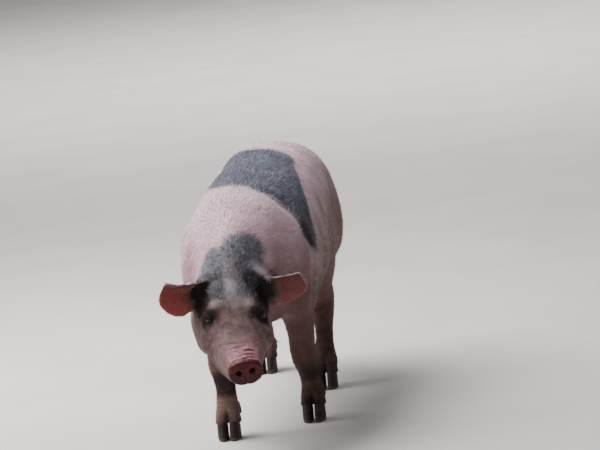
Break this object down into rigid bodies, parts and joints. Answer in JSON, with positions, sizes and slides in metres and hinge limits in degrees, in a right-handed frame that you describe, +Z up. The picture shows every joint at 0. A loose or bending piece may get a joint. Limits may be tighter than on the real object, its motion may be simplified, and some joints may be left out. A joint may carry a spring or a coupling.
{
  "type": "pig",
  "caption": "Still life-size model of a young spotted domestic pig walking with its head lowered and turned, standing on its claws.",
  "frame": {"origin": "on the floor, under the middle of the model's box", "axes": "+Z up, -Y the way the pig faces, +X to the pig's left"},
  "size_m": [0.3012, 1.0634, 0.5447],
  "materials": {
    "skin": "thin pink skin under short sparse bristles, with slate grey patches and dust",
    "snout": "bare moist red-brown disc with pink wrinkled skin behind it",
    "horn": "dark ridged horn, worn and dusty",
    "eye": "dark brown iris under a clear wet cornea"
  },
  "bodies": {
    "root": {"claw_fore_left_inner": "horn", "claw_fore_left_outer": "horn", "claw_fore_right_inner": "horn", "claw_fore_right_outer": "horn", "claw_hind_left_inner": "horn", "claw_hind_left_outer": "horn", "claw_hind_right_inner": "horn", "claw_hind_right_outer": "horn", "dewclaw_fore_left_inner": "horn", "dewclaw_fore_left_outer": "horn", "dewclaw_fore_right_inner": "horn", "dewclaw_fore_right_outer": "horn", "dewclaw_hind_left_inner": "horn", "dewclaw_hind_left_outer": "horn", "dewclaw_hind_right_inner": "horn", "dewclaw_hind_right_outer": "horn", "ear_left": "skin", "ear_right": "skin", "eye_left": "eye", "eye_right": "eye", "forefoot_left": "skin", "forefoot_right": "skin", "foreleg_left": "skin", "foreleg_right": "skin", "head": "skin", "hindfoot_left": "skin", "hindfoot_right": "skin", "hindleg_left": "skin", "hindleg_right": "skin", "lower_jaw": "skin", "neck": "skin", "snout": "snout", "tail": "skin", "trunk": "skin"}
  },
  "joints": []
}
